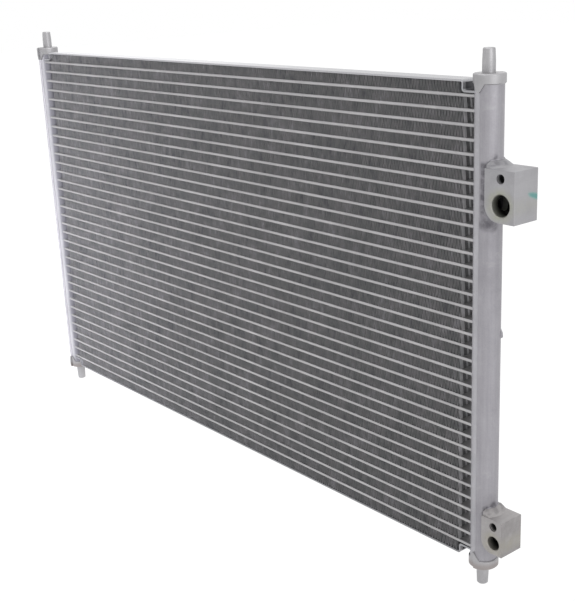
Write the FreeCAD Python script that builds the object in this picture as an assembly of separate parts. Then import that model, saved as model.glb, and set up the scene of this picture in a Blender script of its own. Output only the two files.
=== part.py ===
import FreeCAD, Part
import math
import os

V = FreeCAD.Vector

# Parallel-flow condenser for a car's air conditioning, standing upright.
# The frame has +Z up and +Y towards the back, and the visible core face looks along -Y.
# The origin is on the axis of the lower right pin, in the plane of the cap's shoulder.
# X runs along the tubes, and the header with both connector blocks is at X = 0.

# Tubes and fins
tube_count = 35
tube_pitch = 10.0
tube_depth = 16.0
tube_height = 2.0
tube_skin = 0.35
channel_count = 8
channel_web = 0.45
nose_wall = 0.9
fin_sheet = 0.1
fin_wave = 5.6
fin_setback = 0.3
bare_tube = 6.4

# Headers: a header plate on the core side, nested inside the lips of an outer tank
header_span = 623.2
end_margin = 13.2
plate_radius = 9.6
plate_wall = 1.4
tank_wall = 1.2
braze_gap = 0.05
seam_offset = 1.7
lip_overlap = 4.0
tube_end_to_axis = 1.2

# Tubes in each pass, from the inlet at the top to the outlet at the bottom
passes = [14, 9, 7, 5]
baffle_thickness = 1.5

# Locating nib pressed on the back of the right tank
nib_width = 5.0
nib_height = 8.0
nib_stand = 1.4
nib_turn = 40.0

# End caps and their locating pins
cap_wall = 1.0
cap_floor = 1.8
cap_rim = 5.2
cap_edge = 0.6
tongue_length = 5.5
tongue_root = 10.0
tongue_tip = 3.0
pin_radius = 4.6
pin_straight = 8.0
pin_length = 16.5
pin_tip_radius = 4.2
pin_chamfer = 0.6

# Side plates: flat strips stepped towards the outer tube at each end
side_sheet = 1.4
side_bend = 1.0
web_to_plate = 6.0
tab_lift = 0.9
outer_fin_gap = 3.0

# Connector blocks, both brazed to the right tank
port_seat_depth = 10.0
port_chamfer = 0.7
bolt_radius = 3.4
bolt_depth = 18.0
block_edge = 0.5
block_left = 7.4
saddle_rise = 4.6
saddle_run = 6.3
saddle_inset = 1.0

inlet = {
    "depth": 24.5,
    "right": 33.4,
    "above_port": 24.4,
    "corner": 12.0,
    "port_x": 21.4,
    "port_radius": 7.7,
    "passage_radius": 5.6,
    "bolt_rise": 18.4,
    "port_drop": 86.2,
}
outlet = {
    "depth": 22.5,
    "right": 27.0,
    "above_port": 19.2,
    "corner": 9.0,
    "port_x": 18.8,
    "port_radius": 5.4,
    "passage_radius": 3.6,
    "bolt_rise": 13.6,
    "port_rise": 28.2,
}

# Heights and places that follow from the sizes above
tank_inner = plate_radius + braze_gap
tank_radius = tank_inner + tank_wall
cap_grow = braze_gap + cap_wall
cap_radius = tank_radius + cap_grow
header_bottom = cap_floor
header_length = (tube_count - 1) * tube_pitch + 2 * end_margin
header_top = header_bottom + header_length
shoulder_top = header_top + cap_floor
mid_x = -header_span / 2
mid_z = (header_bottom + header_top) / 2
top_tube_z = header_top - end_margin
fin_height = tube_pitch - tube_height
plate_lip_x = seam_offset + lip_overlap
fin_end_x = -plate_radius - bare_tube
web_x = -plate_radius - web_to_plate
tube_x = -tube_end_to_axis
inlet_z = shoulder_top - inlet["port_drop"]
outlet_z = outlet["port_rise"]


def tube_z(index):
    return top_tube_z - index * tube_pitch


def baffle_z(tubes_above):
    return tube_z(tubes_above) + tube_pitch / 2


def box(x0, y0, z0, x1, y1, z1):
    return Part.makeBox(x1 - x0, y1 - y0, z1 - z0, V(x0, y0, z0))


def post(radius, z0, z1):
    return Part.makeCylinder(radius, z1 - z0, V(0, 0, z0))


def beyond(x, z0, z1):
    reach = 2 * cap_radius
    return box(x, -reach, z0, x + 2 * reach, reach, z1)


def prism(points, y0, y1):
    corners = [V(x, y0, z) for x, z in points]
    outline = Part.makePolygon(corners + [corners[0]])
    return Part.Face(outline).extrude(V(0, y1 - y0, 0))


def turned(points):
    corners = [V(x, 0, z) for x, z in points]
    outline = Part.makePolygon(corners + [corners[0]])
    return Part.Face(outline).revolve(V(0, 0, 0), V(0, 0, 1), 360)


# Every repeated piece is the same front and back, so a half turn takes it to the other end
def to_left(shape):
    return shape.rotated(V(mid_x, 0, 0), V(0, 0, 1), 180)


def to_top(shape):
    return shape.rotated(V(0, 0, mid_z), V(1, 0, 0), 180)


def save(name, shape):
    shape.exportStep("parts/" + name + ".step")


# A flat tube's outline across X, with full-round noses at the front and back
def nose_outline(x, z, depth, height):
    r = height / 2
    y = depth / 2 - r
    low_front = V(x, -y, z - r)
    low_back = V(x, y, z - r)
    high_back = V(x, y, z + r)
    high_front = V(x, -y, z + r)
    back = Part.Arc(low_back, V(x, y + r, z), high_back).toShape()
    front = Part.Arc(high_front, V(x, -y - r, z), low_front).toShape()
    bottom = Part.makeLine(low_front, low_back)
    top = Part.makeLine(high_back, high_front)
    return Part.Wire([bottom, back, top, front])


def channel_outlines(x, z):
    span = tube_depth - 2 * nose_wall
    pitch = (span + channel_web) / channel_count
    half = (pitch - channel_web) / 2
    rise = tube_height / 2 - tube_skin
    wires = []
    for k in range(channel_count):
        y = -span / 2 + half + k * pitch
        corners = [V(x, y - half, z - rise), V(x, y + half, z - rise),
                   V(x, y + half, z + rise), V(x, y - half, z + rise)]
        wires.append(Part.makePolygon(corners + [corners[0]]))
    return wires


# One multiport tube, from inside one header to inside the other
def flat_tube(z):
    x = -header_span + tube_end_to_axis
    wires = [nose_outline(x, z, tube_depth, tube_height)] + channel_outlines(x, z)
    section = Part.makeFace(wires, "Part::FaceMakerBullseye")
    return section.extrude(V(tube_x - x, 0, 0))


# One folded fin strip between two flat faces, its crests on both of them
def fin_strip(end_x, z):
    waves = round(2 * (end_x - mid_x) / fin_wave)
    run = (end_x - mid_x) / waves
    slant = math.atan2(fin_height, run)
    lift = fin_sheet / math.cos(slant)
    start = mid_x - waves * run
    under = []
    over = []
    for k in range(2 * waves + 1):
        x = start + k * run
        crest = k % 2 == 1
        under.append(V(x, 0, z + fin_height - lift if crest else z))
        over.append(V(x, 0, z + fin_height if crest else z + lift))
    outline = Part.makePolygon(under + over[::-1] + [under[0]])
    depth = tube_depth - 2 * fin_setback
    strip = Part.Face(outline).extrude(V(0, depth, 0))
    strip.translate(V(0, -depth / 2, 0))
    return strip


# The outside of a closed header, grown by a gap, as a solid bar
def header_bar(gap, z0, z1):
    bar = post(plate_radius + gap, z0, z1)
    tank = post(tank_radius + gap, z0, z1)
    return bar.fuse(tank.common(beyond(seam_offset - gap, z0, z1)))


# Header plate: the core-side shell, slotted for the tubes and side-plate tabs
def header_plate():
    shell = post(plate_radius, header_bottom, header_top)
    shell = shell.cut(post(plate_radius - plate_wall, header_bottom, header_top))
    shell = shell.cut(beyond(plate_lip_x, header_bottom, header_top))
    slots = []
    for k in range(tube_count):
        slots.append(tube_slot(tube_z(k)))
    slots.append(tab_slot())
    slots.append(to_top(tab_slot()))
    return shell.cut(slots)


def tube_slot(z):
    depth = tube_depth + 2 * braze_gap
    height = tube_height + 2 * braze_gap
    outline = nose_outline(-2 * plate_radius, z, depth, height)
    return Part.Face(outline).extrude(V(2 * plate_radius, 0, 0))


def tab_slot():
    y = tube_depth / 2 + braze_gap
    z = tab_low_z - braze_gap
    return box(-2 * plate_radius, -y, z, 0, y, z + side_sheet + 2 * braze_gap)


# Tank: the outer shell, with baffle slots and, on the right, the port openings
def tank_shell(baffles):
    shell = post(tank_radius, header_bottom, header_top)
    shell = shell.cut(post(tank_inner, header_bottom, header_top))
    shell = shell.common(beyond(seam_offset, header_bottom, header_top))
    half = baffle_thickness / 2 + braze_gap
    for z in baffles:
        shell = shell.cut(beyond(plate_lip_x + braze_gap, z - half, z + half))
    return shell


def port_opening(block, z):
    return Part.makeCylinder(block["passage_radius"], 2 * tank_radius, V(0, 0, z), V(1, 0, 0))


def nib():
    root = tank_radius - tank_wall / 2
    crest = tank_radius + nib_stand
    low = mid_z - nib_height / 4
    points = [(root, low), (crest, low + nib_height / 8),
              (crest, low + nib_height / 3), (root, low + nib_height)]
    wedge = prism(points, -nib_width / 2, nib_width / 2)
    wedge.rotate(V(0, 0, 0), V(0, 0, 1), nib_turn)
    return wedge


# Baffle: closes the header between two passes, its outer edge showing in the tank's slot
def baffle(z):
    z0 = z - baffle_thickness / 2
    z1 = z + baffle_thickness / 2
    inside = post(plate_radius - plate_wall - braze_gap, z0, z1)
    outside = post(tank_radius, z0, z1).common(beyond(plate_lip_x + 2 * braze_gap, z0, z1))
    return inside.fuse(outside).removeSplitter()


def cap_disc(radius, rim):
    return turned([(0, 0), (radius - cap_edge, 0), (radius, cap_edge),
                   (radius, rim - cap_edge), (radius - cap_edge, rim), (0, rim)])


# End cap at the bottom of the right header: cup, two crimp tongues and locating pin.
# The cup's wall follows the header, so it is narrower round the plate than round the tank.
def end_cap():
    rim = cap_floor + cap_rim
    cup = cap_disc(plate_radius + cap_grow, rim)
    cup = cup.fuse(cap_disc(cap_radius, rim).common(beyond(seam_offset - cap_grow, 0, rim)))
    tip = rim + tongue_length
    root = cap_floor
    blade = prism([(-tongue_root / 2, root), (tongue_root / 2, root), (tongue_root / 2, rim),
                   (tongue_tip / 2, tip), (-tongue_tip / 2, tip), (-tongue_root / 2, rim)],
                  -2 * cap_radius, -cap_radius / 2)
    blade = blade.common(header_bar(cap_grow, root, tip))
    back_blade = blade.mirror(V(0, 0, 0), V(0, 1, 0))
    pin = turned([(0, cap_floor), (pin_radius, cap_floor), (pin_radius, -pin_straight),
                  (pin_tip_radius, pin_chamfer - pin_length),
                  (pin_tip_radius - pin_chamfer, -pin_length), (0, -pin_length)])
    cap = cup.fuse([blade, back_blade])
    cap = cap.cut(header_bar(braze_gap, cap_floor, tip + cap_rim))
    return cap.fuse(pin).removeSplitter()


def edges_along_y(shape, places):
    found = []
    for edge in shape.Edges:
        ends = [v.Point for v in edge.Vertexes]
        across = len(ends) == 2 and abs(ends[0].y - ends[1].y) > tube_depth / 2
        if across and (round(ends[0].x, 3), round(ends[0].z, 3)) in places:
            found.append(edge)
    return found


# Lower side plate: a flat strip under the outer fins, stepped up to a tab at each end
side_outer_z = tube_z(tube_count - 1) - tube_height / 2 - fin_height - side_sheet
tab_low_z = tube_z(tube_count - 1) - tube_height / 2 - tab_lift - side_sheet


def side_plate():
    z0 = side_outer_z
    z1 = tab_low_z
    t = side_sheet
    y = tube_depth / 2
    points = [(mid_x, z0), (web_x, z0), (web_x, z1), (tube_x, z1), (tube_x, z1 + t),
              (web_x - t, z1 + t), (web_x - t, z0 + t), (mid_x, z0 + t)]
    half = prism(points, -y, y)
    wide = [(web_x, z0), (web_x - t, z1 + t)]
    tight = [(web_x, z1), (web_x - t, z0 + t)]
    rounded = [[(round(a, 3), round(b, 3)) for a, b in group] for group in (wide, tight)]
    half = half.makeFillet(side_bend + t, edges_along_y(half, rounded[0]))
    half = half.makeFillet(side_bend, edges_along_y(half, rounded[1]))
    return half.fuse(to_left(half)).removeSplitter()


# Connector block: port with seat and passage, tapped bolt hole, saddle on the tank
def connector_block(block, port_z):
    y = block["depth"] / 2
    top = port_z + block["above_port"]
    low = port_z - block["corner"]
    corner = block["corner"]
    body = box(block_left, -y, low, block["right"], y, top)
    notch = box(block_left, -y, low, block_left + corner, y, port_z)
    round_x = block_left + corner
    rounding = Part.makeCylinder(corner, 2 * y, V(round_x, -y, port_z), V(0, 1, 0))
    body = body.cut(notch.cut(rounding))
    body = body.makeFillet(block_edge, body.Edges)
    ridge = top + saddle_rise
    side = y - saddle_inset
    saddle = Part.makeCone(tank_radius + saddle_run, tank_radius, saddle_rise, V(0, 0, top))
    saddle = saddle.fuse(post(tank_radius + saddle_run, top - saddle_inset, top))
    saddle = saddle.common(box(block_left + saddle_inset, -side, low, block["right"], side, ridge))
    body = body.fuse(saddle)
    tank_bar = post(tank_radius + braze_gap, low - 1, ridge + 1)
    return body.cut([tank_bar] + port_cuts(block, port_z, -y))


def port_cuts(block, port_z, face_y):
    x = block["port_x"]
    seat = block["port_radius"]
    inner = block["passage_radius"]
    inward = V(0, 1, 0)
    mouth = V(x, face_y, port_z)
    bolt = V(x, face_y, port_z + block["bolt_rise"])
    tip = bolt + inward * bolt_depth
    return [
        Part.makeCylinder(seat, port_seat_depth, mouth, inward),
        Part.makeCone(seat + port_chamfer, seat, port_chamfer, mouth, inward),
        Part.makeCylinder(inner, -face_y + inner, mouth, inward),
        Part.makeCylinder(inner, x, V(x, 0, port_z), V(-1, 0, 0)),
        Part.makeCylinder(bolt_radius, bolt_depth, bolt, inward),
        Part.makeCone(bolt_radius, 0, bolt_radius / 2, tip, inward),
    ]


os.makedirs("parts", exist_ok=True)

for k in range(tube_count):
    save("tube_%02d" % (k + 1), flat_tube(tube_z(k)))

# Fin strips from top to bottom, four strips to a file
strips = []
for k in range(tube_count + 1):
    outermost = k in (0, tube_count)
    end_x = web_x - side_sheet - outer_fin_gap if outermost else fin_end_x
    strips.append(fin_strip(end_x, tube_z(k) + tube_height / 2))
strips_per_node = math.ceil(len(strips) / 9)
for first in range(0, len(strips), strips_per_node):
    group = strips[first:first + strips_per_node]
    name = "fins_%02d_%02d" % (first + 1, first + len(group))
    save(name, Part.makeCompound(group))

plate = header_plate()
save("header_plate_right", plate)
save("header_plate_left", to_left(plate))

after_first = baffle_z(passes[0])
after_second = baffle_z(passes[0] + passes[1])
after_third = baffle_z(passes[0] + passes[1] + passes[2])
right_tank = tank_shell([after_first, after_third]).fuse(nib())
right_tank = right_tank.cut([port_opening(inlet, inlet_z), port_opening(outlet, outlet_z)])
save("tank_right", right_tank.removeSplitter())
save("tank_left", to_left(tank_shell([after_second])))
save("baffle_right_upper", baffle(after_first))
save("baffle_right_lower", baffle(after_third))
save("baffle_left", to_left(baffle(after_second)))

cap = end_cap()
save("end_cap_lower_right", cap)
save("end_cap_lower_left", to_left(cap))
save("end_cap_upper_right", to_top(cap))
save("end_cap_upper_left", to_top(to_left(cap)))

lower_side = side_plate()
save("side_plate_lower", lower_side)
save("side_plate_upper", to_top(lower_side))

save("inlet_block", connector_block(inlet, inlet_z))
save("outlet_block", connector_block(outlet, outlet_z))
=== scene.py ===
import bpy
import math
import random
from mathutils import Euler, Matrix, Vector


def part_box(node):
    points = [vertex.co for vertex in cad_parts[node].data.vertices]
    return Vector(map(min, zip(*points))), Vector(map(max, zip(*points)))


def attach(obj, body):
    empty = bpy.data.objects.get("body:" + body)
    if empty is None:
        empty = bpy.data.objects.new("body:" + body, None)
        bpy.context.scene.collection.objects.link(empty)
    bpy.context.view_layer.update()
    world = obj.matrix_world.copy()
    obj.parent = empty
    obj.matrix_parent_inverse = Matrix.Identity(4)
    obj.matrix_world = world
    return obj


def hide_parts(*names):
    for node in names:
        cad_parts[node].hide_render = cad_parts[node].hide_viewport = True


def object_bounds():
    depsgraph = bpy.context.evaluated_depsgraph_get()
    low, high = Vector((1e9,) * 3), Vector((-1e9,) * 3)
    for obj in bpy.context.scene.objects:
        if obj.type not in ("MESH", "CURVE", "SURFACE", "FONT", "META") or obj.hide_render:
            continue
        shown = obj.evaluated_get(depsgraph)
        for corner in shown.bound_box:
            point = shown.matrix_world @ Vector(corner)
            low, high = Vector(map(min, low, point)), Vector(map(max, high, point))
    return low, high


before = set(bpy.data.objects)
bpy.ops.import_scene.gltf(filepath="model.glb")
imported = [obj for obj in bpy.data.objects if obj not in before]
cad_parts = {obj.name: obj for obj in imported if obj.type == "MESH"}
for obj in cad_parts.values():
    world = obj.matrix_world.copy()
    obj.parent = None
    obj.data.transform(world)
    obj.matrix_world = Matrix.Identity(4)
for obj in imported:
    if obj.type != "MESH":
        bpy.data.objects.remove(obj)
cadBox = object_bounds()
mm = 0.001
midZ = (cadBox[0][2] + cadBox[1][2]) / 2
random.seed(11)
print("stage: frame loaded,", len(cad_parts), "nodes")


def linear(hexText):
    channels = [int(hexText[i:i + 2], 16) / 255 for i in (1, 3, 5)]
    return [c / 12.92 if c <= 0.04045 else ((c + 0.055) / 1.055) ** 2.4 for c in channels] + [1]


def addNode(material, kind, settings=(), links=()):
    # settings are node properties or inputs, links go from (node, output) to an input here
    node = material.node_tree.nodes.new(kind)
    for name, value in dict(settings).items():
        if isinstance(name, str) and hasattr(node, name):
            setattr(node, name, value)
        else:
            node.inputs[name].default_value = value
    for name, (source, output) in dict(links).items():
        material.node_tree.links.new(source.outputs[output], node.inputs[name])
    return node


def newMaterial(name):
    material = bpy.data.materials.new(name)
    material.use_nodes = True
    material.node_tree.nodes.clear()
    return material


def blendStops(node, stops):
    ramp = node.color_ramp
    for i, (place, hexText) in enumerate(stops):
        stop = ramp.elements[i] if i < len(ramp.elements) else ramp.elements.new(place)
        stop.position = place
        stop.color = linear(hexText)


# Four noises make a brazed finish. detail and rough shape each one, a layer sets in over the
# reach of its noise, and a grain is perDepth times as wide as it is deep
layers = {
    "cloud": {"detail": 4, "rough": 0.6},
    "streak": {"detail": 3, "rough": 0.55, "reach": (0.35, 0.65)},
    "flux": {"detail": 5, "rough": 0.65, "reach": (0.58, 0.72)},
    "grain": {"detail": 2, "rough": 0.5, "reach": (0.3, 0.7), "perDepth": 6},
}


# Aluminium after a furnace braze: mill sheet dulled by flux into a soft, slightly cloudy grey,
# with drawing streaks along its length and thin pale patches of dried flux.
# cloudSize, streakSize, fluxSize and grainSize are real sizes in millimetres.
def brazedAluminium(name, look):
    material = newMaterial(name)
    place = addNode(material, "ShaderNodeTexCoord")
    drawn = addNode(material, "ShaderNodeMapping", {"Scale": look["drawn"]},
                    {"Vector": (place, "Object")})
    noise = {}
    for layer, shape in layers.items():
        source = (drawn, "Vector") if layer == "streak" else (place, "Object")
        noise[layer] = addNode(material, "ShaderNodeTexNoise",
                               {"Scale": 1000 / look[layer + "Size"], "Detail": shape["detail"],
                                "Roughness": shape["rough"]}, {"Vector": source})
    amount = {}
    for layer, (least, most) in (("streak", (0, look["streak"])), ("flux", (0, look["flux"])),
                                 ("grain", look["roughness"])):
        start, end = layers[layer]["reach"]
        amount[layer] = addNode(material, "ShaderNodeMapRange",
                                {"From Min": start, "From Max": end, "To Min": least,
                                 "To Max": most}, {"Value": (noise[layer], "Fac")})
    tint = addNode(material, "ShaderNodeValToRGB", {}, {"Fac": (noise["cloud"], "Fac")})
    blendStops(tint, look["tints"])
    streaked = addNode(material, "ShaderNodeMix",
                       {"data_type": "RGBA", "blend_type": "MIX", 7: linear(look["streakTint"])},
                       {0: (amount["streak"], "Result"), 6: (tint, "Color")})
    coated = addNode(material, "ShaderNodeMix",
                     {"data_type": "RGBA", "blend_type": "MIX", 7: linear(look["fluxTint"])},
                     {0: (amount["flux"], "Result"), 6: (streaked, 2)})
    grainDepth = look["grainSize"] * mm / layers["grain"]["perDepth"]
    bump = addNode(material, "ShaderNodeBump", {"Strength": look["bump"], "Distance": grainDepth},
                   {"Height": (noise["grain"], "Fac")})
    surface = addNode(material, "ShaderNodeBsdfPrincipled", {"Metallic": look["metallic"]},
                      {"Base Color": (coated, 2), "Roughness": (amount["grain"], "Result"),
                       "Normal": (bump, "Normal")})
    addNode(material, "ShaderNodeOutputMaterial", {}, {"Surface": (surface, "BSDF")})
    return material


# Rolled tank sheet: its streaks run up the header
tankLook = {
    "cloudSize": 35, "streakSize": 2.5, "fluxSize": 14, "grainSize": 1.1, "drawn": (1, 1, 0.04),
    "tints": [(0.3, "#97959A"), (0.5, "#A3A1A6"), (0.7, "#ABA9AE")],
    "streak": 0.35, "streakTint": "#8E8C92", "flux": 0.5, "fluxTint": "#B3B1B4",
    "bump": 0.3, "roughness": (0.42, 0.58), "metallic": 0.7,
}
# The left header's tank is painted paler, as painted light
litTankLook = dict(
    tankLook, tints=[(0.3, "#B1AFB4"), (0.5, "#BCBAC0"), (0.7, "#C4C2C8")],
    streakTint="#A8A6AC", fluxTint="#CAC8CC")
# Pressed header plate: a little brighter than the tank
plateLook = {
    "cloudSize": 30, "streakSize": 2.0, "fluxSize": 9, "grainSize": 1.0, "drawn": (1, 1, 0.05),
    "tints": [(0.3, "#A7A6AA"), (0.5, "#B1B0B4"), (0.7, "#BAB9BD")],
    "streak": 0.25, "streakTint": "#9C9A9F", "flux": 0.6, "fluxTint": "#C2C1C3",
    "bump": 0.3, "roughness": (0.4, 0.55), "metallic": 0.85,
}
# The left header plate is painted paler too, as painted light
litPlateLook = dict(
    plateLook, tints=[(0.3, "#B5B4B9"), (0.5, "#BFBEC3"), (0.7, "#C8C7CC")],
    streakTint="#AAA9AE", fluxTint="#D0CFD2")
# Extruded tube: fine, bright lines along it
tubeLook = {
    "cloudSize": 50, "streakSize": 1.2, "fluxSize": 16, "grainSize": 0.8, "drawn": (0.03, 1, 1),
    "tints": [(0.3, "#A9A8A9"), (0.5, "#B4B3B4"), (0.7, "#BEBDBE")],
    "streak": 0.2, "streakTint": "#9F9EA0", "flux": 0.5, "fluxTint": "#C6C5C4",
    "bump": 0.2, "roughness": (0.38, 0.52), "metallic": 0.9,
}
# Rolled side strip: the smoothest and palest sheet of the core
sideLook = {
    "cloudSize": 60, "streakSize": 1.5, "fluxSize": 18, "grainSize": 1.0, "drawn": (0.03, 1, 1),
    "tints": [(0.3, "#C6C6C9"), (0.5, "#CFCFD2"), (0.7, "#D8D8DB")],
    "streak": 0.25, "streakTint": "#BBBBBF", "flux": 0.4, "fluxTint": "#D6D6D6",
    "bump": 0.1, "roughness": (0.26, 0.36), "metallic": 0.85,
}
# Milled blocks: a matt face with fine cutter lines, the lower one browner
inletLook = {
    "cloudSize": 16, "streakSize": 0.9, "fluxSize": 6, "grainSize": 0.6, "drawn": (1, 0.05, 1),
    "tints": [(0.3, "#9C9B9E"), (0.5, "#A6A5A8"), (0.7, "#AEADB0")],
    "streak": 0.2, "streakTint": "#929194", "flux": 0.3, "fluxTint": "#B1B0B0",
    "bump": 0.2, "roughness": (0.45, 0.6), "metallic": 0.65,
}
outletLook = {
    "cloudSize": 12, "streakSize": 0.9, "fluxSize": 5, "grainSize": 0.6, "drawn": (1, 0.05, 1),
    "tints": [(0.3, "#9E9B9B"), (0.5, "#A8A5A5"), (0.7, "#B0ADAD")],
    "streak": 0.25, "streakTint": "#928E8E", "flux": 0.35, "fluxTint": "#B4B0AF",
    "bump": 0.2, "roughness": (0.45, 0.6), "metallic": 0.65,
}
# Forged and turned cap: even and nearly free of flux
capLook = {
    "cloudSize": 12, "streakSize": 1.4, "fluxSize": 5, "grainSize": 0.7, "drawn": (1, 1, 0.1),
    "tints": [(0.3, "#A5A4A6"), (0.5, "#ADACAE"), (0.7, "#B4B3B5")],
    "streak": 0.2, "streakTint": "#9B9B9C", "flux": 0.25, "fluxTint": "#B9B8B9",
    "bump": 0.06, "roughness": (0.48, 0.56), "metallic": 0.92,
}
# Braze metal is an aluminium and silicon melt: it sets smooth, bright and a little uneven
brazeLook = {
    "cloudSize": 8, "streakSize": 1.5, "fluxSize": 3, "grainSize": 0.5, "drawn": (1, 1, 0.3),
    "tints": [(0.3, "#9F9DA2"), (0.5, "#ABAAAE"), (0.7, "#B7B6B9")],
    "streak": 0.3, "streakTint": "#8F8D92", "flux": 0.5, "fluxTint": "#BDBCBE",
    "bump": 0.3, "roughness": (0.32, 0.45), "metallic": 0.8,
}
# The left header's seams are painted bright, as painted light over the shade along them
litBrazeLook = dict(
    brazeLook, tints=[(0.3, "#D2D0D6"), (0.5, "#DCDAE0"), (0.7, "#E4E2E8")],
    streakTint="#C8C6CC", fluxTint="#E0DEE4")
tankMetal = brazedAluminium("brazedTankSheet", tankLook)
litTankMetal = brazedAluminium("litTankSheet", litTankLook)
plateMetal = brazedAluminium("brazedPlateSheet", plateLook)
leftPlateMetal = brazedAluminium("leftPlateLightAndShade", litPlateLook)
tubeMetal = brazedAluminium("extrudedFlatTube", tubeLook)
sideMetal = brazedAluminium("rolledSideStrip", sideLook)
capMetal = brazedAluminium("forgedEndCap", capLook)
brazeMetal = brazedAluminium("setBrazeMetal", brazeLook)
litBrazeMetal = brazedAluminium("litSeamBraze", litBrazeLook)
inletMetal = brazedAluminium("machinedInletBlock", inletLook)
outletMetal = brazedAluminium("machinedOutletBlock", outletLook)


patchDetail = 3  # detail of the noises that break up a stain, a blotch or a brush stroke


# Where on the part a point lies, whole and as its X, Y and Z
def placeOn(material):
    place = addNode(material, "ShaderNodeTexCoord")
    split = addNode(material, "ShaderNodeSeparateXYZ", {}, {"Vector": (place, "Object")})
    return place, split


# The mask of where all limits hold. A limit is (node, output, start, end): it rises from 0
# to 1 between start and end, or falls where start is the larger. (node, output) alone is
# taken as it is.
def maskOf(material, *limits):
    mask = None
    for source, output, *reach in limits:
        held = source, output
        if reach:
            start, end = reach
            slope = addNode(material, "ShaderNodeMapRange",
                            {"interpolation_type": "SMOOTHSTEP", "From Min": min(reach),
                             "From Max": max(reach), "To Min": float(start > end),
                             "To Max": float(start < end)}, {"Value": held})
            held = slope, "Result"
        if mask:
            shared = addNode(material, "ShaderNodeMath", {"operation": "MULTIPLY"},
                             {0: mask, 1: held})
            held = shared, 0
        mask = held
    return mask


# A second colour over a metal, where all limits hold. Places and widths in the dictionaries
# that follow are millimetres, and a pair of them is the start and end of a limit.
def paintOver(material, hexText, *limits):
    surface = next(n for n in material.node_tree.nodes if n.type == "BSDF_PRINCIPLED")
    under = surface.inputs["Base Color"].links[0].from_socket
    layer = addNode(material, "ShaderNodeMix", {"data_type": "RGBA", 7: linear(hexText)},
                    {0: maskOf(material, *limits)})
    material.node_tree.links.new(under, layer.inputs[6])
    material.node_tree.links.new(layer.outputs[2], surface.inputs["Base Color"])


# Ports and bolt holes: painted shade darkens a bore further in, and old oil stains the face
# round a port. Painted shade in blotches lies on the saddle above a block, and the block's right
# side is painted darker as shade, on the lower block.
blockMarks = {
    "inlet": {
        "node": "inlet_block", "metal": inletMetal, "portX": 21.4, "portZ": 283.8,
        "portRadius": 7.7, "boltZ": 302.2, "saddleZ": 308.2, "cornerRadius": 12,
        "stain": "#A5A693", "saddleShade": "#88878B", "flankShade": "#A6A5A8",
    },
    "outlet": {
        "node": "outlet_block", "metal": outletMetal, "portX": 18.8, "portZ": 28.2,
        "portRadius": 5.4, "boltZ": 41.8, "saddleZ": 47.4, "cornerRadius": 9,
        "stain": "#A9A597", "saddleShade": "#8B8889", "flankShade": "#858282",
    },
}
# What both blocks share: painted shade inside each bore's rim, from just below the face down to
# where it is darkest. An open fault: nothing ends this paint or the stain further back, so
# both also show on the block's back face, which has no holes
boreShade = {
    "port": {"rim": (0.25, 0.1), "dark": (0.2, 9), "tint": "#1B1B18"},
    "bolt": {"rim": (0.2, 0.05), "dark": (0.2, 4), "tint": "#232325"},
}
blockFace = {"boltRadius": 3.4, "stainWidth": 7, "cloudSize": 5, "flankSkin": (0.5, 0.3),
             "saddleRise": (0.2, 2), "blotch": (0.35, 0.65)}

for block in blockMarks.values():
    metal = block["metal"]
    lowCorner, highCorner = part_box(block["node"])
    faceY, flankX = lowCorner[1], highCorner[0]
    place, split = placeOn(metal)
    cloudy = addNode(metal, "ShaderNodeTexNoise",
                     {"Scale": 1000 / blockFace["cloudSize"], "Detail": patchDetail},
                     {"Vector": (place, "Object")})
    skinStart, skinEnd = blockFace["flankSkin"]
    # painted shade on the block's right side
    paintOver(metal, block["flankShade"], (split, "X", flankX - skinStart * mm, flankX - skinEnd * mm),
              (cloudy, 0))
    for name, height, radius in (("port", block["portZ"], block["portRadius"]),
                                 ("bolt", block["boltZ"], blockFace["boltRadius"])):
        offset = addNode(metal, "ShaderNodeVectorMath",
                         {"operation": "SUBTRACT", 1: (block["portX"] * mm, 0, height * mm)},
                         {0: (place, "Object")})
        flat = addNode(metal, "ShaderNodeVectorMath", {"operation": "MULTIPLY", 1: (1, 0, 1)},
                       {0: (offset, 0)})
        away = addNode(metal, "ShaderNodeVectorMath", {"operation": "LENGTH"}, {0: (flat, 0)})
        if name == "port":
            paintOver(metal, block["stain"], (cloudy, 0),
                      (away, "Value", (radius + blockFace["stainWidth"]) * mm, radius * mm))
        rimStart, rimEnd = boreShade[name]["rim"]
        darkStart, darkEnd = boreShade[name]["dark"]
        # painted shade inside the bore
        paintOver(metal, boreShade[name]["tint"],
                  (away, "Value", (radius + rimStart) * mm, (radius + rimEnd) * mm),
                  (split, "Y", faceY + darkStart * mm, faceY + darkEnd * mm))
    riseStart, riseEnd = blockFace["saddleRise"]
    # painted shade on the saddle, in blotches
    paintOver(metal, block["saddleShade"], (cloudy, "Fac", *blockFace["blotch"]),
              (split, "Z", (block["saddleZ"] + riseStart) * mm, (block["saddleZ"] + riseEnd) * mm))

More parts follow.
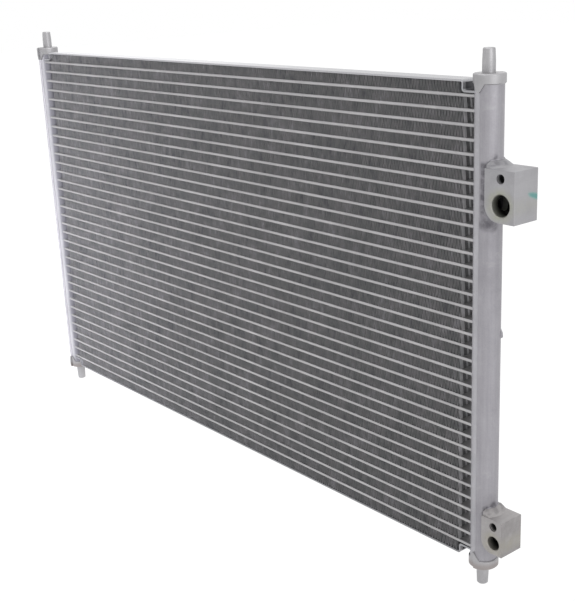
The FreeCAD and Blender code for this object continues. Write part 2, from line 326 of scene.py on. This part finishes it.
# Inspection mark: one short brush stroke of teal paint over the inlet block's back edge, thin
# at its rim and thicker along its middle
paintMark = {
    "middle": (33.4, 9.4, 289.2), "turn": -18, "bristle": 1.5, "ragged": 0.5,
    "fade": (1.4, 0.75),
    "layers": (((1.5, 9.0, 2.6), "#86A5A1"), ((1.5, 7.4, 1.6), "#6C9996")),
}
place = addNode(inletMetal, "ShaderNodeTexCoord")
bristles = addNode(inletMetal, "ShaderNodeTexNoise",
                   {"Scale": 1000 / paintMark["bristle"], "Detail": patchDetail},
                   {"Vector": (place, "Object")})
for size, tint in paintMark["layers"]:
    stroke = addNode(inletMetal, "ShaderNodeMapping",
                     {"vector_type": "TEXTURE", "Location": [v * mm for v in paintMark["middle"]],
                      "Rotation": (math.radians(paintMark["turn"]), 0, 0),
                      "Scale": [v * mm for v in size]}, {"Vector": (place, "Object")})
    away = addNode(inletMetal, "ShaderNodeVectorMath", {"operation": "LENGTH"}, {0: (stroke, 0)})
    ragged = addNode(inletMetal, "ShaderNodeMath",
                     {"operation": "MULTIPLY_ADD", 1: paintMark["ragged"]},
                     {0: (bristles, "Fac"), 2: (away, "Value")})
    paintOver(inletMetal, tint, (ragged, 0, *paintMark["fade"]))

# Painted shade on the right tank, mottled by a cloud: a band beside the upper connector
# block, and blotches round the seats of both blocks
tankShade = {
    "bandX": (1.9, 3.4), "bandFoot": (270, 278), "bandTop": (313, 309), "cloudSize": 4,
    "cloudReach": (0.1, 0.7), "tint": "#66646A",
    "perCore": 4,  # a blotch is as wide as this many of its dark cores
    "blotches": (((9.9, -4.4, 314.8), 3.0), ((6.0, -9.0, 268.5), 6.5), ((9.4, -5.4, 267.0), 5.5),
                 ((10.6, -1.4, 53.4), 4.5), ((8.2, -7.0, 51.5), 3.5)),
}
place, split = placeOn(tankMetal)
cloudy = addNode(tankMetal, "ShaderNodeTexNoise",
                 {"Scale": 1000 / tankShade["cloudSize"], "Detail": patchDetail},
                 {"Vector": (place, "Object")})
thick = (cloudy, "Fac", *tankShade["cloudReach"])
band = [(split, axis, *(v * mm for v in tankShade[limit]))
        for axis, limit in (("Z", "bandFoot"), ("Z", "bandTop"), ("X", "bandX"))]
paintOver(tankMetal, tankShade["tint"], *band, thick)
for middle, radius in tankShade["blotches"]:
    away = addNode(tankMetal, "ShaderNodeVectorMath",
                   {"operation": "DISTANCE", 1: [v * mm for v in middle]}, {0: (place, "Object")})
    core = radius / tankShade["perCore"]
    paintOver(tankMetal, tankShade["tint"], (away, "Value", radius * mm, core * mm), thick)

# Lower end caps: painted shade, tinted brown, on their skirts but not their pins
capSkirtShade = {"offPin": (-1.5, -0.5), "skirtTop": (7.5, 2.0), "tint": "#9D9796"}
_, split = placeOn(capMetal)
paintOver(capMetal, capSkirtShade["tint"],
          *((split, "Z", *(v * mm for v in capSkirtShade[limit])) for limit in ("offPin", "skirtTop")))

# Left header plate: painted shade on the side where the tubes enter
leftPlateShade = {"clear": 7.0, "fullTint": 3.2, "tint": "#8D8C94"}
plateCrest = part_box("header_plate_left")[1][0]
_, split = placeOn(leftPlateMetal)
paintOver(leftPlateMetal, leftPlateShade["tint"],
          (split, "X", plateCrest - leftPlateShade["clear"] * mm, plateCrest - leftPlateShade["fullTint"] * mm))

# Left tank: the painted light of its pale tints stays only on the strip beside each seam,
# and the rest of the sheet is painted darker again, in a mottle
leftTankLitStrip = {"pale": 3.6, "fullTint": 6.4, "cloudSize": 12, "mottleReach": (0.05, 0.35), "tint": "#8F8D93"}
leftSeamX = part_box("tank_left")[1][0]
place, split = placeOn(litTankMetal)
mottled = addNode(litTankMetal, "ShaderNodeTexNoise",
                  {"Scale": 1000 / leftTankLitStrip["cloudSize"], "Detail": patchDetail},
                  {"Vector": (place, "Object")})
paintOver(litTankMetal, leftTankLitStrip["tint"], (mottled, "Fac", *leftTankLitStrip["mottleReach"]),
          (split, "X", leftSeamX - leftTankLitStrip["pale"] * mm, leftSeamX - leftTankLitStrip["fullTint"] * mm))

# Side plates: the rolled faces are painted lighter at the left and darker towards the right
# header, as painted light and shade. The sheared long edges are darker, most of all on the
# lower plate, and painted shade darkens the step down to each header
sideMarks = {
    "litX": (-120, -520), "litTint": "#F1F1F4", "shadedX": (-330, -90),
    "shadedTint": "#B2B2B5", "edge": 0.35, "lowerEdgeTint": "#8D8D90",
    "upperEdgeTint": "#B3B3B6", "underUpper": (2, 1), "stepX": 17.0, "stepSoft": 2.5,
    "shoulder": 1.6, "shoulderSoft": 0.4, "stepShadeY": (-6.5, -4.5), "stepShadeTint": "#4E4E51",
    "stepEdgeTint": "#9F9FA2",
}
plateLow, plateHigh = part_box("side_plate_upper")
halfLength = (plateHigh[0] - plateLow[0]) / 2
shoulderZ = plateHigh[2] - midZ - sideMarks["shoulder"] * mm
stepX = halfLength - sideMarks["stepX"] * mm
edgeY = plateHigh[1] - sideMarks["edge"] * mm
place, split = placeOn(sideMetal)
fromMiddle = addNode(sideMetal, "ShaderNodeVectorMath",
                     {"operation": "SUBTRACT", 1: ((plateLow[0] + plateHigh[0]) / 2, 0, midZ)},
                     {0: (place, "Object")})
outward = addNode(sideMetal, "ShaderNodeVectorMath", {"operation": "ABSOLUTE"},
                  {0: (fromMiddle, 0)})
spread = addNode(sideMetal, "ShaderNodeSeparateXYZ", {}, {"Vector": (outward, 0)})
sheared = (spread, "Y", edgeY, edgeY + sideMarks["edge"] * mm / 2)
onUpper = (split, "Z", *(plateLow[2] - v * mm for v in sideMarks["underUpper"]))
inStep = [(spread, "X", stepX, stepX + sideMarks["stepSoft"] * mm),
          (spread, "Z", shoulderZ, shoulderZ - sideMarks["shoulderSoft"] * mm)]
for tint, limits in (
        ("litTint", [(split, "X", *(v * mm for v in sideMarks["litX"]))]),
        ("shadedTint", [(split, "X", *(v * mm for v in sideMarks["shadedX"]))]),
        ("lowerEdgeTint", [sheared]),
        ("upperEdgeTint", [sheared, onUpper]),
        ("stepShadeTint", inStep + [(split, "Y", *(v * mm for v in sideMarks["stepShadeY"]))]),
        ("stepEdgeTint", inStep + [sheared])):
    paintOver(sideMetal, sideMarks[tint], *limits)


# Fin sheet: thin clad foil, pale where it is flat, with louvres cut in two banks across it.
# The louvres are drawn as bands across the depth, because one is only a few tenths thick.
# Each slit is painted dark, as the shade seen through it.
finLook = {
    "cloudSize": 16, "cloudDetail": 5, "cloudRough": 0.65,
    "grainSize": 2.6, "grainDetail": 2, "grainRough": 0.6, "grainShare": 0.6,
    "drawn": (1, 0.2, 0.28),
    "tints": [(0.32, "#88878C"), (0.44, "#9D9E9F"), (0.55, "#A9A7A9"), (0.68, "#BDBCC0")],
    "louvreShadeTint": "#1E1D1F", "louvrePitch": 1.1, "louvreSlit": (0.05, 0.6), "louvreDepth": 0.2,
    "bankStart": 0.8, "bankEnd": 4.4, "bankSoft": 0.2, "bump": 0.6,
    "roughness": 0.5, "metallic": 0.35,
}


def finSheet(name, look):
    material = newMaterial(name)
    place, split = placeOn(material)
    drawn = addNode(material, "ShaderNodeMapping", {"Scale": look["drawn"]},
                    {"Vector": (place, "Object")})
    clouds, folds = (
        addNode(material, "ShaderNodeTexNoise",
                {"Scale": 1000 / look[kind + "Size"], "Detail": look[kind + "Detail"],
                 "Roughness": look[kind + "Rough"]}, {"Vector": source})
        for kind, source in (("cloud", (place, "Object")), ("grain", (drawn, "Vector"))))
    both = addNode(material, "ShaderNodeMix", {"data_type": "FLOAT", 0: look["grainShare"]},
                   {2: (clouds, "Fac"), 3: (folds, "Fac")})
    tint = addNode(material, "ShaderNodeValToRGB", {}, {"Fac": (both, 0)})
    blendStops(tint, look["tints"])
    across = addNode(material, "ShaderNodeMath", {"operation": "ABSOLUTE"}, {0: (split, "Y")})
    count = addNode(material, "ShaderNodeMath",
                    {"operation": "MULTIPLY", 1: 1000 / look["louvrePitch"]}, {0: (split, "Y")})
    part = addNode(material, "ShaderNodeMath", {"operation": "FRACT"}, {0: (count, 0)})
    opened = (across, 0, look["bankStart"] * mm, (look["bankStart"] + look["bankSoft"]) * mm)
    closed = (across, 0, look["bankEnd"] * mm, (look["bankEnd"] - look["bankSoft"]) * mm)
    louvre = maskOf(material, opened, closed, (part, 0, *look["louvreSlit"]))
    shade = addNode(material, "ShaderNodeMix",
                    {"data_type": "RGBA", 7: linear(look["louvreShadeTint"])},
                    {0: louvre, 6: (tint, "Color")})
    bump = addNode(material, "ShaderNodeBump",
                   {"Strength": look["bump"], "Distance": look["louvreDepth"] * mm},
                   {"Height": louvre})
    surface = addNode(material, "ShaderNodeBsdfPrincipled",
                      {"Metallic": look["metallic"], "Roughness": look["roughness"]},
                      {"Base Color": (shade, 2), "Normal": (bump, "Normal")})
    addNode(material, "ShaderNodeOutputMaterial", {}, {"Surface": (surface, "BSDF")})
    return material


finMetal = finSheet("louvredFinSheet", finLook)

finishes = {"tube": tubeMetal, "header": plateMetal, "tank": tankMetal, "baffle": tankMetal,
            "side": sideMetal, "end": capMetal, "inlet": inletMetal, "outlet": outletMetal,
            "fins": finMetal}
ownFinishes = {"tank_left": litTankMetal, "header_plate_left": leftPlateMetal}
for nodeName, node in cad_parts.items():
    node.data.materials.clear()
    usual = finishes[nodeName.split("_")[0]]
    node.data.materials.append(ownFinishes.get(nodeName, usual))
print("stage: materials on the metal parts")

weld = 0.01 * mm  # points closer than this are one


def pickVerts(piece, test):
    bpy.ops.object.mode_set(mode="EDIT")
    bpy.ops.mesh.select_all(action="DESELECT")
    bpy.ops.object.mode_set(mode="OBJECT")
    for v in piece.data.vertices:
        v.select = test(v.co)
    bpy.ops.object.mode_set(mode="EDIT")
    bpy.ops.mesh.select_mode(type="VERT")


# Copies of a piece in one row, each a step further
def repeat(piece, count, step):
    row = piece.modifiers.new("row", "ARRAY")
    row.count = count
    row.use_relative_offset = False
    row.use_constant_offset = True
    row.constant_offset_displace = step
    return row


# Slight unevenness of folded sheet and braze, from a fixed cloud pattern
def unevenness(name, size):
    pattern = bpy.data.textures.new(name, type="CLOUDS")
    pattern.noise_scale = size
    pattern.noise_depth = 1
    return pattern


def roughen(piece, pattern, strength, direction="NORMAL"):
    wobble = piece.modifiers.new("wobble", "DISPLACE")
    wobble.texture = pattern
    wobble.direction = direction
    wobble.strength = strength
    wobble.mid_level = 0.5


def applyAll(piece):
    bpy.context.view_layer.objects.active = piece
    for modifier in list(piece.modifiers):
        bpy.ops.object.modifier_apply(modifier=modifier.name)


def joinAs(name, pieces):
    bpy.ops.object.select_all(action="DESELECT")
    for piece in pieces:
        piece.select_set(True)
    bpy.context.view_layer.objects.active = pieces[0]
    if len(pieces) > 1:
        bpy.ops.object.join()
    joined = bpy.context.view_layer.objects.active
    joined.name = name
    return joined


def finish(piece, metal):
    piece.data.materials.clear()
    piece.data.materials.append(metal)
    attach(piece, "root")


# Fin strips: one fold is shaped, repeated along X, then set into its gap. The strips' ends
# follow a slight lean, and each is off it by up to endScatter
fin = {
    "wave": 2.8 * mm,
    "crestRun": 0.25 * mm,
    "crestRise": 0.1 * mm,
    "sheet": 0.1 * mm,
    "uneven": 0.3 * mm,
    "unevenSize": 5 * mm,
    "endLean": 0.0085,
    "endScatter": 0.5 * mm,
    "outerShort": 4 * mm,  # the two outermost strips end this much sooner, for the side plates
    "stripsInNode": 4,
}
foldNoise = unevenness("foldNoise", fin["unevenSize"])


def foldStrip(pitch, height, waves, depth):
    bpy.ops.object.select_all(action="DESELECT")
    bpy.ops.mesh.primitive_plane_add(size=1)
    piece = bpy.context.object
    piece.scale = (fin["crestRun"], depth, 1)
    bpy.ops.object.transform_apply(location=False, rotation=False, scale=True)
    rise = fin["crestRise"]
    flankShade = height - 2 * rise
    run = pitch / 2 - 2 * fin["crestRun"]
    pickVerts(piece, lambda co: co.x > 0)
    bpy.ops.transform.translate(value=(0, 0, rise))
    for dx, dz in ((run, flankShade), (fin["crestRun"], rise), (fin["crestRun"], -rise),
                   (run, -flankShade), (fin["crestRun"], -rise)):
        bpy.ops.mesh.extrude_region_move(TRANSFORM_OT_translate={"value": (dx, 0, dz)})
    bpy.ops.object.mode_set(mode="OBJECT")
    row = repeat(piece, waves, (pitch, 0, 0))
    row.use_merge_vertices = True
    row.merge_threshold = weld
    applyAll(piece)
    return piece


tubeBoxes = [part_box(n) for n in sorted(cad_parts) if n.startswith("tube")]  # top first
tubeHeight = tubeBoxes[0][1][2] - tubeBoxes[0][0][2]
gapHeight = tubeBoxes[0][0][2] - tubeBoxes[1][1][2]
gapFloors = [tubeBoxes[0][1][2]] + [b[0][2] - gapHeight for b in tubeBoxes]
finNodes = sorted(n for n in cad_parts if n.startswith("fins"))
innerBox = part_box(finNodes[1])
midX = (innerBox[0][0] + innerBox[1][0]) / 2
innerHalf = innerBox[1][0] - midX
depth = innerBox[1][1] - innerBox[0][1]

for nodeIndex, nodeName in enumerate(finNodes):
    strips = []
    firstRow = nodeIndex * fin["stripsInNode"]
    for row in range(firstRow, firstRow + fin["stripsInNode"]):
        floorZ = gapFloors[row]
        outermost = row in (0, len(tubeBoxes))
        half = innerHalf - fin["outerShort"] if outermost else innerHalf
        shift = 0 if outermost else (floorZ - midZ) * fin["endLean"]
        shift += random.uniform(-1, 1) * fin["endScatter"]
        waves = round(2 * half / fin["wave"])
        strip = foldStrip(2 * half / waves, gapHeight, waves, depth)
        bpy.ops.object.mode_set(mode="EDIT")
        bpy.ops.mesh.select_all(action="SELECT")
        bpy.ops.transform.translate(value=(midX - half + shift + fin["crestRun"] / 2, 0, floorZ))
        bpy.ops.object.mode_set(mode="OBJECT")
        strips.append(strip)
    pack = joinAs(nodeName.replace("fins", "foldedFins"), strips)
    roughen(pack, foldNoise, fin["uneven"], direction="X")
    sheet = pack.modifiers.new("sheet", "SOLIDIFY")
    sheet.thickness = fin["sheet"]
    sheet.offset = 0
    applyAll(pack)
    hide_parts(nodeName)
    finish(pack, finMetal)
print("stage: fins folded")


# Braze beads: a line is drawn point by point, given a round section, and made uneven
bead = {"sides": 2, "smoothAngle": 50, "uneven": 0.18 * mm, "unevenSize": 3 * mm}
beadNoise = unevenness("beadNoise", bead["unevenSize"])


def drawBead(name, points, radius, closed=False, rough=True):
    bpy.ops.object.select_all(action="DESELECT")
    bpy.ops.mesh.primitive_plane_add(size=radius)
    piece = bpy.context.object
    piece.name = name
    bpy.ops.object.mode_set(mode="EDIT")
    bpy.ops.mesh.select_all(action="SELECT")
    bpy.ops.mesh.merge(type="CENTER")
    bpy.ops.transform.translate(value=points[0])
    for before, after in zip(points, points[1:]):
        move = [b - a for a, b in zip(before, after)]
        bpy.ops.mesh.extrude_region_move(TRANSFORM_OT_translate={"value": move})
    if closed:
        bpy.ops.mesh.select_all(action="SELECT")
        bpy.ops.mesh.remove_doubles(threshold=weld)
    bpy.ops.object.mode_set(mode="OBJECT")
    bpy.ops.object.convert(target="CURVE")
    piece = bpy.context.object
    piece.data.bevel_depth = radius
    piece.data.bevel_resolution = bead["sides"]
    piece.data.use_fill_caps = True
    bpy.ops.object.convert(target="MESH")
    piece = bpy.context.object
    if rough:
        roughen(piece, beadNoise, bead["uneven"])
        applyAll(piece)
    bpy.ops.object.shade_smooth_by_angle(angle=math.radians(bead["smoothAngle"]))
    return piece


# A half turn about the core's upright middle takes a copy to the other header
def turnedCopy(piece, name):
    bpy.ops.object.select_all(action="DESELECT")
    piece.select_set(True)
    bpy.context.view_layer.objects.active = piece
    bpy.ops.object.duplicate()
    twin = bpy.context.object
    twin.name = name
    bpy.ops.object.mode_set(mode="EDIT")
    bpy.ops.mesh.select_all(action="SELECT")
    bpy.ops.transform.rotate(value=math.pi, orient_axis="Z", center_override=(midX, 0, midZ))
    bpy.ops.object.mode_set(mode="OBJECT")
    return twin


# Seams where the tank's lips close on the header plate, front and back of both headers
header = {"plateRadius": 9.6 * mm, "tankRadius": 10.85 * mm}
seam = {"radius": 0.75 * mm, "backX": 0.2 * mm, "outY": 0.3 * mm, "underCap": 5.5 * mm, "steps": 90}
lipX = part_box("tank_right")[0][0]
lipY = math.sqrt(header["plateRadius"] ** 2 - lipX ** 2)
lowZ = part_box("end_cap_lower_right")[1][2] - seam["underCap"]
highZ = 2 * midZ - lowZ
seamPoints = [(lipX - seam["backX"], -lipY - seam["outY"],
               lowZ + (highZ - lowZ) * k / seam["steps"]) for k in range(seam["steps"] + 1)]
frontSeam = drawBead("seam", seamPoints, seam["radius"])
backSeam = drawBead("seam", [(x, -y, z) for x, y, z in seamPoints], seam["radius"])
rightSeams = joinAs("headerSeamBrazeRight", [frontSeam, backSeam])
leftSeams = turnedCopy(rightSeams, "headerSeamBrazeLeft")
finish(rightSeams, brazeMetal)
finish(leftSeams, litBrazeMetal)


# Braze collar round one tube where it enters the plate, then one at every tube
tubeCollar = {"radius": 0.32 * mm, "flatSteps": 8, "noseSteps": 6}
tubeTopZ = (tubeBoxes[0][0][2] + tubeBoxes[0][1][2]) / 2
pitchZ = tubeBoxes[0][0][2] - tubeBoxes[1][0][2]


def collarPoints(z):
    rise = tubeHeight / 2
    halfY = tubeBoxes[0][1][1] - rise
    flatSteps, noseSteps = tubeCollar["flatSteps"], tubeCollar["noseSteps"]
    flat = [halfY * (1 - 2 * k / flatSteps) for k in range(flatSteps + 1)]
    nose = [math.pi * k / noseSteps for k in range(1, noseSteps)]
    outline = [(y, rise) for y in flat]
    outline += [(-halfY - rise * math.sin(a), rise * math.cos(a)) for a in nose]
    outline += [(-y, -rise) for y in flat]
    outline += [(halfY + rise * math.sin(a), -rise * math.cos(a)) for a in nose]
    outline.append(outline[0])
    return [(-math.sqrt(header["plateRadius"] ** 2 - y * y), y, z + rz) for y, rz in outline]


def atEveryTube(piece):
    repeat(piece, len(tubeBoxes), (0, 0, -pitchZ))
    roughen(piece, beadNoise, bead["uneven"])
    applyAll(piece)


rightCollars = drawBead("tubeBrazeRight", collarPoints(tubeTopZ), tubeCollar["radius"],
                        closed=True, rough=False)
atEveryTube(rightCollars)
leftCollars = turnedCopy(rightCollars, "tubeBrazeLeft")
for collars in (rightCollars, leftCollars):
    finish(collars, brazeMetal)


# Braze that ran along the four edges of every tube, where the folds' crests sit on it
edgeBraze = {"y": 7.45 * mm, "lift": -0.07 * mm, "radius": 0.2 * mm, "steps": 36}
edgeHalf = -midX - math.sqrt(header["plateRadius"] ** 2 - edgeBraze["y"] ** 2)
edgeRise = tubeHeight / 2 + edgeBraze["lift"]
for label, side in (("Front", -1), ("Back", 1)):
    edges = []
    for rise in (edgeRise, -edgeRise):
        run = [(midX - edgeHalf + 2 * edgeHalf * k / edgeBraze["steps"],
                side * edgeBraze["y"], tubeTopZ + rise) for k in range(edgeBraze["steps"] + 1)]
        edges.append(drawBead("edge", run, edgeBraze["radius"], rough=False))
    lines = joinAs("tubeEdgeBraze" + label, edges)
    atEveryTube(lines)
    finish(lines, tubeMetal)


# Bead all round the seat of a connector block on the tank: over the crest of its saddle,
# down its edge, and under its rounded corner, where the melt gathered in a thick fillet
blockSeat = {"edgeX": 7.6 * mm, "crestX": 8.6 * mm, "crestDrop": 4 * mm,
             "beadRadius": 0.7 * mm, "filletRadius": 1.9 * mm,
             "steps": {"crest": 8, "edge": 12, "corner": 12}}
for label, block in blockMarks.items():
    steps = blockSeat["steps"]
    cornerRadius = block["cornerRadius"] * mm
    portZ = block["portZ"] * mm
    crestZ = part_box(block["node"])[1][2]
    edgeTopZ = crestZ - blockSeat["crestDrop"]
    seatRadius = header["tankRadius"]
    centreX = blockSeat["edgeX"] + cornerRadius
    crestTurn = math.acos(blockSeat["crestX"] / seatRadius)
    crest = [(seatRadius * math.cos(crestTurn * k / steps["crest"]), crestZ)
             for k in range(steps["crest"] + 1)]
    edge = [(blockSeat["edgeX"], edgeTopZ - (edgeTopZ - portZ) * k / steps["edge"])
            for k in range(steps["edge"])]
    lastTurn = math.acos((centreX - seatRadius) / cornerRadius)
    corner = [(centreX - cornerRadius * math.cos(lastTurn * k / steps["corner"]),
               portZ - cornerRadius * math.sin(lastTurn * k / steps["corner"]))
              for k in range(steps["corner"] + 1)]
    front = [(x, -math.sqrt(max(seatRadius ** 2 - x * x, 0)), z) for x, z in crest + edge + corner]
    back = [(x, -y, z) for x, y, z in reversed(front[1:-1])]
    loop = drawBead(label + "BlockBraze", front + back + front[:1], blockSeat["beadRadius"],
                    closed=True)
    gathered = front[2 - len(corner):-2]  # the corner without two points at each end
    fillets = [drawBead("fillet", [(x, side * y, z) for x, y, z in gathered],
                        blockSeat["filletRadius"]) for side in (1, -1)]
    seat = joinAs(label + "BlockBraze", [loop] + fillets)
    finish(seat, tankMetal)
print("stage: braze beads drawn")


# Thread ridges in the two bolt holes, wound down from just inside the face
thread = {"radius": 3.35 * mm, "pitch": 1.25 * mm, "turns": 12, "turnSteps": 16,
          "ridge": 0.3 * mm, "setback": 0.9 * mm}
for label, block in blockMarks.items():
    x, z = block["portX"] * mm, block["boltZ"] * mm
    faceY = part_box(block["node"])[0][1]
    winding = []
    for k in range(thread["turns"] * thread["turnSteps"] + 1):
        turns = k / thread["turnSteps"]
        winding.append((x + thread["radius"] * math.cos(2 * math.pi * turns),
                        faceY + thread["setback"] + thread["pitch"] * turns,
                        z + thread["radius"] * math.sin(2 * math.pi * turns)))
    ridges = drawBead(label + "BoltThread", winding, thread["ridge"], rough=False)
    finish(ridges, block["metal"])
print("stage: threads wound")


# White studio: the backdrop shows white to the camera, and the floor keeps a faint shadow
studio = {
    "floorDrop": 0.2 * mm,
    "floorSize": 12,
    "floorTint": "#F2F2F2",
    "floorShare": 0.85,
    "floorGlow": 1.12,
    "worldLight": 0.6,
}


# Camera and glossy rays see the white backdrop, and all other rays see the plain light
def backdropRays(owner):
    rays = addNode(owner, "ShaderNodeLightPath")
    return addNode(owner, "ShaderNodeMath", {"operation": "MAXIMUM"},
                   {0: (rays, "Is Camera Ray"), 1: (rays, "Is Glossy Ray")})


bpy.ops.object.select_all(action="DESELECT")
bpy.ops.mesh.primitive_plane_add(size=studio["floorSize"],
                                 location=(midX, 0, cadBox[0][2] - studio["floorDrop"]))
floor = bpy.context.object
floor.name = "studioFloor"
paper = newMaterial("whitePaperFloor")
seen = backdropRays(paper)
share = addNode(paper, "ShaderNodeMath", {"operation": "MULTIPLY", 1: studio["floorShare"]},
                {0: (seen, 0)})
matt = addNode(paper, "ShaderNodeBsdfDiffuse", {"Color": linear(studio["floorTint"])})
glow = addNode(paper, "ShaderNodeEmission",
               {"Color": (1, 1, 1, 1), "Strength": studio["floorGlow"]})
mixed = addNode(paper, "ShaderNodeMixShader", {}, {0: (share, 0), 1: (matt, 0), 2: (glow, 0)})
addNode(paper, "ShaderNodeOutputMaterial", {}, {"Surface": (mixed, "Shader")})
floor.data.materials.append(paper)

world = bpy.data.worlds.new("studioWorld")
bpy.context.scene.world = world
world.use_nodes = True
world.node_tree.nodes.clear()
seen = backdropRays(world)
strength = addNode(world, "ShaderNodeMapRange", {"To Min": studio["worldLight"], "To Max": 1.0},
                   {"Value": (seen, 0)})
sky = addNode(world, "ShaderNodeBackground", {"Color": (1, 1, 1, 1)},
              {"Strength": (strength, "Result")})
addNode(world, "ShaderNodeOutputWorld", {}, {"Surface": (sky, "Background")})

# The two lamps by the left header brighten the core towards it and show in no reflection
lamps = {
    "sideLamp": {"place": (-0.74, -0.24, 0.17), "target": (-0.70, 0, 0.17), "size": 0.3,
                 "watts": 3.0, "tint": (0.94, 0.94, 1), "glossy": False},
    "rimLamp": {"place": (-1.2, 0.3, 0.25), "target": (-0.6, 0, midZ), "size": 0.5,
                "watts": 1.6, "tint": (1, 1, 1), "glossy": False},
    "fillLamp": {"place": (1.9, -0.4, 0.9), "target": (0, 0, midZ), "size": 1.2,
                 "watts": 13, "tint": (1, 1, 1), "glossy": True},
    "topLamp": {"place": (-0.5, 0.3, 1.8), "target": (midX, 0, midZ), "size": 1.2,
                "watts": 9, "tint": (1, 1, 1), "glossy": True},
}
for name, setting in lamps.items():
    bpy.ops.object.light_add(type="AREA", location=setting["place"])
    lamp = bpy.context.object
    lamp.name = name
    lamp.data.size = setting["size"]
    lamp.data.energy = setting["watts"]
    lamp.data.color = setting["tint"]
    towards = Vector(setting["target"]) - Vector(setting["place"])
    lamp.rotation_euler = towards.to_track_quat("-Z", "Y").to_euler()
    lamp.visible_camera = False
    lamp.visible_glossy = setting["glossy"]

# Camera at the photograph's angle, from the fan of the tube rows
view = {
    "place": (0.4824, -0.5706, 0.4425),
    "azimuth": 51.09,
    "elevation": 17.08,
    "roll": 2.5,
    "focalPixels": 1082.4,
    "framePixels": 601,
    "sensor": 36,
    "nearest": 0.01,
}
bpy.ops.object.camera_add(location=view["place"])
camera = bpy.context.object
camera.name = "photoCamera"
aim = Euler((math.radians(90 - view["elevation"]), 0, math.radians(view["azimuth"]))).to_matrix()
camera.rotation_euler = (aim @ Matrix.Rotation(-math.radians(view["roll"]), 3, "Z")).to_euler()
camera.data.sensor_width = view["sensor"]
camera.data.lens = view["sensor"] * view["focalPixels"] / view["framePixels"]
camera.data.clip_start = view["nearest"]
camera.data.dof.use_dof = False
bpy.context.scene.camera = camera
bpy.context.scene.view_settings.view_transform = "Standard"
print("stage: camera and light set")
